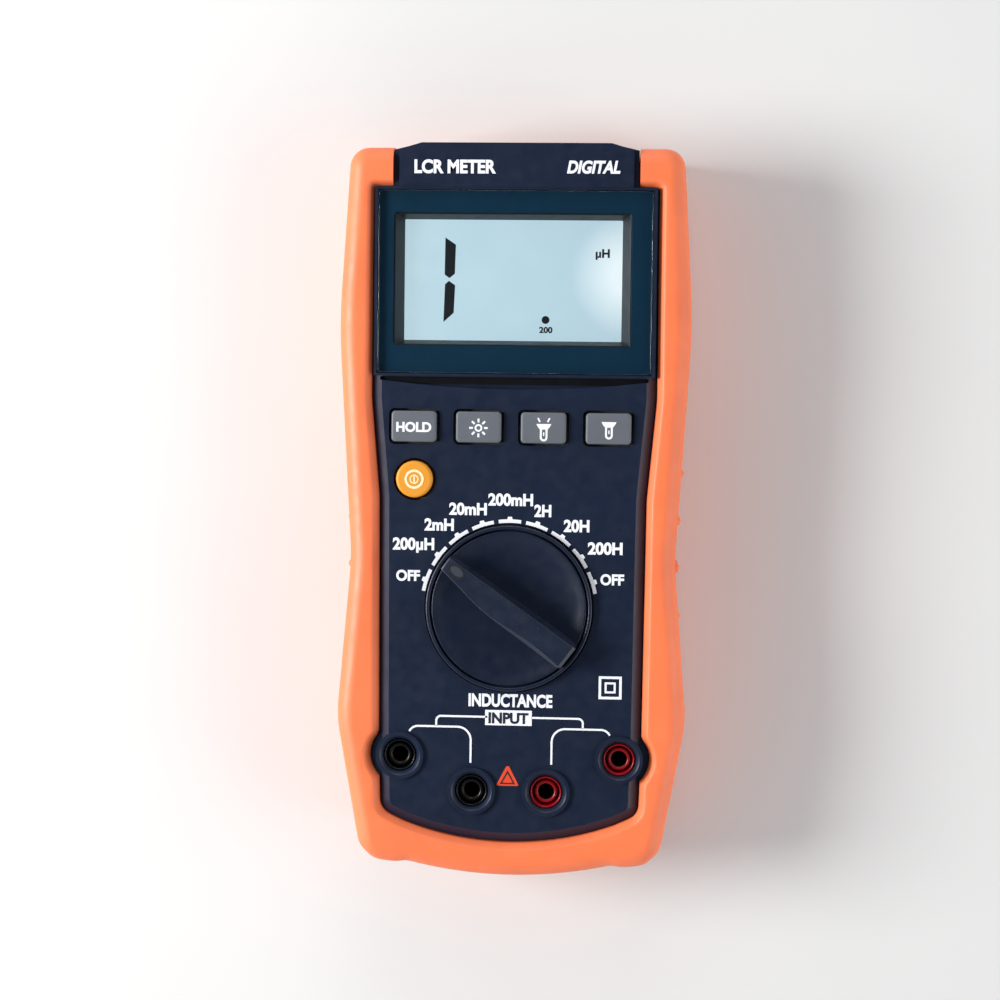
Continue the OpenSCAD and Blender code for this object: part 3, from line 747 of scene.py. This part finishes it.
def make_dial():
    """Disc with a raised rim, a groove and a dished face, and the grip bar with its pointer oval: a grey field
    inside a dark ring that is painted shade round the oval recess's edge.
    """
    r, base, rim, dish = DIAL_R, 34.05, 36.6, 34.8
    profile = [(0, base), (r - 0.15, base), (r, 34.2), (r, rim - 0.25), (r - 0.07, rim - 0.07)]
    profile += [(r - 0.25, rim), (r - 0.7, rim), (r - 0.86, rim - 0.06), (r - 0.93, rim - 0.25)]
    profile += [(r - 1.0, 35.0), (r - 1.4, 35.0), (r - 1.47, 36.1), (r - 1.6, 36.22), (r - 1.9, 36.18)]
    profile += [(r - 3.2, 35.72), (r - 5, 35.28), (r - 7, 34.98), (r - 9.5, 34.83), (r - 12, dish)]
    profile += [(0, dish)]
    vertices, faces = revolve(profile, 144)
    disc = add("dial_disc", dial_frame(vertices), faces, "dial", "dial_plastic", materials["dial_plastic"])
    normals_out(disc)
    disc.data.shade_smooth()
    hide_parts("range_dial")

    # along, right base, right top, left top, left facet, left base, facet drop, top drop
    sections = [
        (19.72, -2.0, -1.7, 1.75, 1.85, 2.1, 0.3, 0.35), (19.4, -2.05, -1.7, 1.8, 1.95, 2.3, 0.2, 0.03),
        (13, -2.35, -1.95, 2.7, 2.85, 3.3, 0.2, 0), (9, -2.52, -2.12, 3.3, 3.45, 3.92, 0.2, 0),
        (6, -2.65, -2.25, 3.62, 3.77, 4.25, 0.2, 0),
        (2, -2.8, -2.35, 3.8, 3.95, 4.45, 0.2, 0), (-3, -3.0, -2.5, 3.3, 3.95, 4.45, 0.7, 0),
        (-9, -3.25, -2.75, 2.8, 3.85, 4.3, 1.2, 0), (-14, -3.45, -2.9, 2.85, 3.75, 4.15, 0.9, 0),
        (-18.5, -3.6, -3.1, 3.15, 3.65, 4.0, 0.4, 0.03), (-19.3, -3.55, -3.0, 3.1, 3.55, 3.9, 0.8, 0.75),
    ]
    foot = 34.7
    rings = []
    for u, right, right_top, left_top, facet, left, facet_drop, drop in sections:
        top = DIAL_TOP - 0.06 - drop
        low = top - facet_drop
        ring = [(u, right, foot), (u, right_top, top), (u, left_top, top)]
        rings.append(ring + [(u, facet, low), (u, left, foot)])
    count = len(rings[0])
    vertices = [p for ring in rings for p in ring]
    faces = [tuple(range(count)), tuple(reversed(range(len(vertices) - count, len(vertices))))]
    for j in range(len(rings) - 1):
        for i in range(count):
            k = (i + 1) % count
            faces.append((j * count + i, j * count + k, (j + 1) * count + k, (j + 1) * count + i))
    grip = moulded("grip_plastic", (26, 35, 53), 0.3, 0.35, 0.01, 0.16, 0.35, 0.9).material
    bar = add("dial_bar", dial_frame(vertices), faces, "dial", "dial_plastic", grip)
    normals_out(bar)
    bevel(bar, 0.32, 3, 16)

    oval = [(16.1 + 2.1 * math.cos(t), -0.1 + 1.35 * math.sin(t)) for t in around(40)]
    # dark ring: painted shade round the edge of the pointer oval's recess
    vertices, faces = band(oval, 0.5, DIAL_TOP - 0.08, DIAL_TOP - 0.01, closed=True)
    add("pointer_recess_shade_ring", dial_frame(vertices), faces, "dial", "dial_plastic", POINTER_RECESS_SHADE, smooth=False)
    vertices, faces = prism(inset([Vector(p) for p in reversed(oval)], 0.3), DIAL_TOP - 0.08, DIAL_TOP - 0.02)
    add("pointer_field", dial_frame(vertices), faces, "dial", "dial_plastic", GREY_INK, smooth=False)


def make_groove_shade():
    """Dark strip along the upper edge of the crescent groove under the display: a painted shadow where the groove
    is in shade.
    """
    r, top = 275, 31.55
    low_edge = [Vector((x, max(32.7, top + r - math.sqrt(r * r - x * x)))) for x in range(33, -34, -3)]
    outline = [Vector((-33.6, 34.45)), Vector((33.6, 34.45))] + low_edge
    # painted shadow: black plastic laid in the groove to stand for its shade
    add("groove_painted_shadow", *prism(outline, GROOVE_Z + 0.02, GROOVE_Z + 0.35), "housing", "black_plastic",
        materials["black_plastic"], smooth=False)


# ---- Printing on the panel ----

def make_ticks():
    """An arc with a nub in its middle for every range, round the dial."""
    shapes = []
    r = DIAL_R + 1.1
    nub_corners = ((0.3, 1.9), (1.1, 1.2), (1.1, -1.2), (0.3, -1.9))
    for k in range(9):
        a = 18 + 18 * k
        path = [DIAL + ray(t, r) for t in sweep(18, a - 7.4, 14.8)]
        shapes.append(band(path, 0.9, *film(PANEL_Z)))
        nub = [DIAL + ray(math.radians(a + turn), r + out) for out, turn in nub_corners]
        shapes.append(prism(nub, *film(PANEL_Z, 0.01)))
    printed("range_ticks", shapes, WHITE_INK)


RANGE_LABELS = [
    ("OFF", -26.3, -16.0, 6.1, 2.7), ("200µH", -25.0, -7.9, 10.6, 3.0), ("2mH", -18.5, -2.9, 7.5, 3.0),
    ("20mH", -11.2, 1.2, 9.6, 3.0), ("200mH", -0.4, 3.7, 11.4, 3.0), ("2H", 7.8, 1.0, 4.3, 3.0),
    ("20H", 16.4, -2.7, 6.5, 3.0), ("200H", 23.7, -8.3, 8.8, 3.0), ("OFF", 25.6, -16.2, 6.0, 2.7),
]


def make_labels():
    shapes = [words(text, (x, y), width, height, PANEL_Z) for text, x, y, width, height in RANGE_LABELS]
    printed("range_labels", shapes, WHITE_INK)
    printed("function_label", [words("INDUCTANCE", (0.2, -47.5), 21.4, 3.2, PANEL_Z)], WHITE_INK)
    shapes = [words("LCR METER", (-15.4, 87.4), 20.6, 3.3, SHOULDER_Z)]
    shapes.append(words("DIGITAL", (19.4, 87.4), 13.4, 3.1, SHOULDER_Z, slant=0.22))
    printed("shoulder_words", shapes, WHITE_INK)


def make_input_marks():
    """Lines that join the two outer and the two inner jacks, with their label, triangle and double square."""
    low, high = film(PANEL_Z)
    line, end, bend = 0.5, 25.9, 2.6
    shapes = []
    for s in (-1, 1):
        upper = [(s * 5.6, -51.9), (s * 17.5, -51.9)]
        upper += [(s * (17.5 + 1.2 * math.sin(t)), -53.1 + 1.2 * math.cos(t)) for t in sweep(7, 10, 80)]
        upper += [(s * 18.7, -54.5)]
        shapes.append(band(upper, line, low, high))
        x, y, r = INNER_JACK.x + (1.3 if s > 0 else 0.3), -54.6, 3.4
        lower = [(s * (end - bend * (1 - math.cos(t))), y - bend + bend * math.sin(t))
                 for t in sweep(7, 28, 58)]
        lower += [(s * (x + r - r * math.sin(t)), y - r + r * math.cos(t)) for t in sweep(10, 0, 90)]
        lower += [(s * x, INNER_JACK.y + 7.2)]
        shapes.append(band(lower, line, low, high))
    field = [(-6.2, -50.1), (5.7, -50.1), (5.7, -54.0), (-6.2, -54.0)]
    shapes.append(prism([Vector(p) for p in field], low, high))
    square = Vector((25.5, -43.8))
    for half, width in ((2.6, 0.65), (1.15, 0.5)):
        corners = [square + Vector(p) * half for p in ((-1, 1), (1, 1), (1, -1), (-1, -1))]
        shapes.append(band(corners, width, low, high, closed=True))
    printed("input_marks", shapes, WHITE_INK)
    printed("input_label", [words("INPUT", (-0.25, -52.05), 10.2, 2.7, PANEL_Z + INK)], DARK_INK)
    triangle = [(-0.3, -64.4), (0.1, -64.6), (2.5, -69.2), (2.3, -69.5)]
    triangle += [(-2.9, -69.5), (-3.1, -69.2), (-0.7, -64.6)]
    printed("caution_triangle", [prism([Vector(p) for p in triangle], low, high)], AMBER_INK)
    inner = [(-0.3, -65.9), (1.35, -68.9), (-1.95, -68.9)]
    printed("caution_triangle_line", [band(inner, 0.34, low + INK, high + INK, closed=True)], DARK_INK)


def make_lcd():
    """A leading 1, the decimal point, the range and the unit on the display's glass."""
    low, high = film(LCD_Z)
    upper = [(-18.2, 70.0), (-15.5, 68.2), (-15.7, 60.8), (-17.1, 59.7), (-18.3, 60.6)]
    lower = [(-18.2, 58.1), (-17.2, 59.0), (-15.6, 57.9), (-15.9, 50.9), (-18.5, 48.5)]
    shapes = [prism([Vector(p) for p in outline], low, high) for outline in (upper, lower)]
    shapes.append(prism(circle(Vector((7.6, 49.3)), 1.0), low, high))
    printed("lcd_digit", shapes, SEGMENT)
    shapes = [words("µH", (21.9, 66.3), 3.6, 2.1, LCD_Z), words("200", (7.7, 46.8), 3.4, 1.5, LCD_Z)]
    printed("lcd_units", shapes, SEGMENT)


# ---- Keys ----

def key_ring(at, width, length, r):
    corners = [(at.x - width / 2, at.y + length / 2, r), (at.x + width / 2, at.y + length / 2, r)]
    corners += [(at.x + width / 2, at.y - length / 2, r), (at.x - width / 2, at.y - length / 2, r)]
    return rounded(corners, 8)


def make_keys():
    """Keys with rounded upper edges, the flange that holds them behind the panel, and their stems."""
    for name in ("hold", "backlight", "torch_on", "torch_off"):
        low, high = box(name + "_key")
        at, top = (low + high) / 2, high.z - 0.01
        width = high.x - low.x - 2 * FLANGE - 0.35
        length = high.y - low.y - 2 * FLANGE - 0.15
        rings = [(key_ring(at, 3, 3, 1.49), z) for z in (low.z, FLANGE_LOW)]
        rings += [(key_ring(at, width + 2.3, length + 2.1, 1.5), z) for z in (FLANGE_LOW, FLANGE_TOP)]
        rings += [(key_ring(at, width, length, 1.0), z) for z in (FLANGE_TOP, top - 0.62)]
        for inwards, down in reversed(edge_curve(0.55, 0, 75, 5)):
            rings.append((key_ring(at, width - 2 * inwards, length - 2 * inwards, 1.0), top - down))
        rings.append((key_ring(at, width - 2.2, length - 2.2, 0.5), top))
        piece = add(name + "_cap", *loft(rings), name + "_button", "key_plastic", materials["key_plastic"])
        normals_out(piece)
        bevel(piece, 0.08, 2, 40)
        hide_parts(name + "_key")

    low, high = box("power_key")
    at, r, top = (low + high) / 2, (high.x - low.x) / 2 - FLANGE - 0.12, high.z - 0.01
    profile = [(0, low.z), (1.5, low.z), (1.5, FLANGE_LOW), (r + FLANGE, FLANGE_LOW)]
    profile += [(r + FLANGE, FLANGE_TOP), (r, FLANGE_TOP), (r, top - 0.9)]
    profile += [(r - inwards, top - down) for inwards, down in reversed(edge_curve(0.8, 0, 80, 7))]
    profile += [(0, top)]
    vertices, faces = revolve(profile, 96)
    piece = add("power_cap", shifted(vertices, at.x, at.y), faces, "power_button", "power_key_plastic",
                materials["power_key_plastic"])
    normals_out(piece)
    bevel(piece, 0.05, 2, 50)
    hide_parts("power_key")


# ---- Printing on the keys ----

def make_key_marks():
    key = {n: middle(n + "_key") for n in ("hold", "backlight", "torch_on", "torch_off", "power")}
    top = box("hold_key")[1].z
    low, high = film(top)
    at = Vector(key["hold"].xy)
    printed("hold_mark", [words("HOLD", at + Vector((0, -0.1)), 8.9, 2.4, top)], WHITE_INK, "hold_button")

    at = key["backlight"].xy + Vector((0, -0.2))
    shapes = [band(circle(at, 0.75), 0.45, low, high, True)]
    shapes += [band([at + ray(t, 1.4), at + ray(t, 2.35)], 0.5, low, high) for t in around(8, 90)]
    printed("backlight_mark", shapes, WHITE_INK, "backlight_button")

    for name, rays in (("torch_on", True), ("torch_off", False)):
        at = key[name].xy + Vector((0.1, -0.5 if rays else 0.2))
        head = [(-1.9, 1.5), (1.9, 1.5), (1.5, 0.75), (0.95, 0.1), (-0.95, 0.1), (-1.5, 0.75)]
        shapes = [prism([at + Vector(p) for p in head], low, high)]
        grip = [Vector((-0.72, 0.1))] + [Vector((0, -1.9)) + ray(t, 0.72) for t in sweep(11, 180, 180)]
        shapes.append(band([at + p for p in grip + [Vector((0.72, 0.1))]], 0.5, low, high))
        shapes.append(band([at + Vector((0, -0.6)), at + Vector((0, -1.5))], 0.3, low, high))
        if rays:
            for x0, x1 in ((-0.95, -1.5), (0.95, 1.5)):
                shapes.append(band([at + Vector((x0, 2.0)), at + Vector((x1, 3.0))], 0.4, low, high))
        printed(name + "_mark", shapes, WHITE_INK, name + "_button")

    at = key["power"].xy
    low, high = film(box("power_key")[1].z)
    shapes = [band(circle(at, 2.15), 0.6, low, high, True), band(circle(at, 1.0), 0.3, low, high, True)]
    shapes.append(band([at + Vector((0, 0.75)), at + Vector((0, -0.75))], 0.4, low, high))
    printed("power_mark", shapes, CREAM_INK, "power_button")


# ---- Jacks ----

def make_jacks():
    """Insulating tubes, each with a ring over its socket's rim and a deep gap between, in countersinks."""
    low, high = box("jack_tube_red_inner")
    flange, low, high = (high.x - low.x) / 2 - 0.02, low.z, high.z
    profile = [(SLEEVE_R, low), (flange, low), (flange, 11.9), (TUBE_R, 12.0), (TUBE_R, high - 0.3)]
    profile += [(TUBE_R - 0.1, high - 0.08), (TUBE_R - 0.25, high), (TUBE_R - 0.45, high - 0.06)]
    profile += [(TUBE_R - 0.6, high - 0.4), (TUBE_R - 0.75, high - 4), (TUBE_R - 1.0, high - 4.4)]
    profile += [(3.0, high - 4.2), (2.95, high - 1.3), (2.85, high - 0.98), (2.6, high - 0.85)]
    profile += [(2.3, high - 0.92), (2.06, high - 1.1), (2.04, high - 1.16), (SLEEVE_R, high - 1.17)]
    vertices, faces = revolve(profile, 72, closed=True)
    for colour in ("black", "red"):
        for place in ("inner", "outer"):
            at = mount("input_socket_%s_%s" % (colour, place))
            piece = add("tube_%s_%s" % (colour, place), shifted(vertices, at.x, at.y), faces, "housing",
                        "jack_" + colour, materials["jack_" + colour])
            normals_out(piece)
            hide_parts("jack_tube_%s_%s" % (colour, place))
    profile = [(4.14, 33.2), (4.14, 33.9), (4.2, 34.25), (4.4, 34.6), (4.85, 35.15)]
    profile += [(5.2, 35.5), (5.34, 35.58), (5.34, 33.2)]
    vertices, faces = revolve(profile, 72, closed=True)
    places = [(s * jack.x, jack.y) for s in (-1, 1) for jack in (OUTER_JACK, INNER_JACK)]
    sinks = [(shifted(vertices, x, y), faces) for x, y in places]
    normals_out(add("jack_countersinks", *join(sinks), "housing", "case_plastic", materials["case_plastic"]))


# ---- Lamp and underside ----

def make_reflector():
    """Bright sleeve between the lamp and its lens."""
    lamp_box, lens_box = box("torch_led"), box("torch_lens")
    at, end = middle("torch_lens"), lens_box[0].y - 0.05
    start = lamp_box[1].y - 1.9
    profile = [(2.6, start), (2.75, (start + end) / 2), (2.97, end), (3.07, end), (3.07, start)]
    vertices, faces = revolve(profile, 48, closed=True)
    turned = [(at.x + x, depth, at.z + y) for x, y, depth in vertices]
    sleeve = add("lamp_reflector", turned, faces, "housing", "steel", materials["steel"])
    normals_out(sleeve)


def make_back_details():
    """The cover's screw with a cross recess, and the plate's printing."""
    at = middle("battery_door_screw").xy
    low, high = box("battery_door_screw")[0].z, box("battery_door_screw")[1].z
    profile = [(0, low + 0.02), (1.7, low + 0.02), (2.15, low + 0.2), (2.28, low + 0.45), (2.28, low + 0.7)]
    profile += [(0.95, low + 0.71), (0.95, high - 0.4), (0.6, high - 0.02), (0, high - 0.02)]
    vertices, faces = revolve(profile, 48)
    screw = add("cover_screw", shifted(vertices, at.x, at.y), faces, "battery_cover", "steel",
                materials["steel"])
    normals_out(screw)
    for w, l in ((0.28, 1.25), (1.25, 0.28)):
        cut(screw, *block((at.x - w, at.y - l, low - 1), (at.x + w, at.y + l, low + 0.45)))
    screw.data.shade_smooth()
    bevel(screw, 0.05, 2, 35)
    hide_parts("battery_door_screw")
    plate = middle("rating_plate").xy
    z = box("rating_plate")[0].z
    frame_line = [plate + Vector(p) for p in ((-17.8, 9.8), (17.8, 9.8), (17.8, -9.8), (-17.8, -9.8))]
    shapes = [band(frame_line, 0.35, z - 0.05, z + 0.02, closed=True)]
    for text, y, width, height in (("LCR TESTER", 3.2, 25, 2.9), ("BATTERY 9 V", -4.2, 21, 2.3)):
        vertices, faces = words(text, (-plate.x, y), width, height, 0, weight=0.012)
        turned = [(plate.x - vx, plate.y + vy, z + 0.02 - vz) for vx, vy, vz in vertices]
        shapes.append((turned, [tuple(reversed(f)) for f in faces]))
    printed("plate_words", shapes, DARK_INK)


make_holster()
make_ribs()
make_dial()
make_groove_shade()
make_ticks()
make_labels()
make_input_marks()
make_lcd()
make_keys()
make_key_marks()
make_jacks()
make_reflector()
make_back_details()


# ---- Stage, light and camera ----

def make_stage():
    floor_size = 3000
    vertices, faces = block((-floor_size, -floor_size, -20), (floor_size, floor_size, 0))
    mesh = bpy.data.meshes.new("floor")
    mesh.from_pydata([Vector(v) * MM for v in vertices], [], faces)
    floor = bpy.data.objects.new("floor", mesh)
    bpy.context.scene.collection.objects.link(floor)
    look = Look("floor")
    pale = linear((222, 222, 220))
    look.set(Base_Color=look.mix(look.noise(60, 3), shade(pale, 0.97), shade(pale, 1.02)), Roughness=0.7)
    mesh.materials.append(look.material)


def lamp(name, place, size, power, colour=(1, 1, 1)):
    light = bpy.data.lights.new(name, "AREA")
    light.shape = "DISK"
    light.size = size
    light.energy = power
    light.color = colour
    item = bpy.data.objects.new(name, light)
    item.location = place
    item.rotation_euler = (Vector((0, 0, 0)) - Vector(place)).to_track_quat("-Z", "Y").to_euler()
    bpy.context.scene.collection.objects.link(item)


def make_world():
    """Soft light from all sides of the studio, dim straight overhead so that the flat front doesn't glare."""
    world = bpy.data.worlds.new("world")
    world.use_nodes = True
    tree = world.node_tree
    place = tree.nodes.new("ShaderNodeTexCoord")
    split = tree.nodes.new("ShaderNodeSeparateXYZ")
    ramp = tree.nodes.new("ShaderNodeMapRange")
    for key, number in zip(("From Min", "From Max", "To Min", "To Max"), (0.5, 0.88, 0.9, 0.03)):
        ramp.inputs[key].default_value = number
    tree.links.new(place.outputs["Generated"], split.inputs[0])
    tree.links.new(split.outputs["Z"], ramp.inputs["Value"])
    tree.links.new(ramp.outputs["Result"], tree.nodes["Background"].inputs["Strength"])
    tree.nodes["Background"].inputs["Color"].default_value = (0.93, 0.95, 1.0, 1)
    bpy.context.scene.world = world


def make_camera():
    """Looks down at the panel from nearly overhead, a little to the right and towards the display."""
    distance = 500
    shown = 253.4                       # width of the view at the panel, in millimetres
    aim = Vector((-3.1, 3.5, PANEL_Z))
    right, up, roll = math.radians(3.5), math.radians(3.0), math.radians(0.72)
    away = Vector((math.sin(right), math.sin(up), 1)).normalized()
    data = bpy.data.cameras.new("camera")
    data.sensor_width = 36
    data.lens = 36 * distance / shown
    data.clip_start = 0.01
    item = bpy.data.objects.new("camera", data)
    y_axis = Vector((-math.sin(roll), math.cos(roll), 0))
    x_axis = y_axis.cross(away).normalized()
    y_axis = away.cross(x_axis)
    turn = Matrix((x_axis, y_axis, away)).transposed()
    item.matrix_world = Matrix.Translation((aim + away * distance) * MM) @ turn.to_4x4()
    bpy.context.scene.collection.objects.link(item)
    bpy.context.scene.camera = item


make_stage()
lamp("key_light", (-0.78, 0.04, 0.5), 0.4, 10.5)
lamp("fill_light", (0.8, -0.2, 0.42), 0.7, 3.0)
lamp("back_light", (0.0, 0.9, 0.55), 0.5, 1.5)
make_world()
bpy.context.scene.view_settings.view_transform = "Standard"
make_camera()
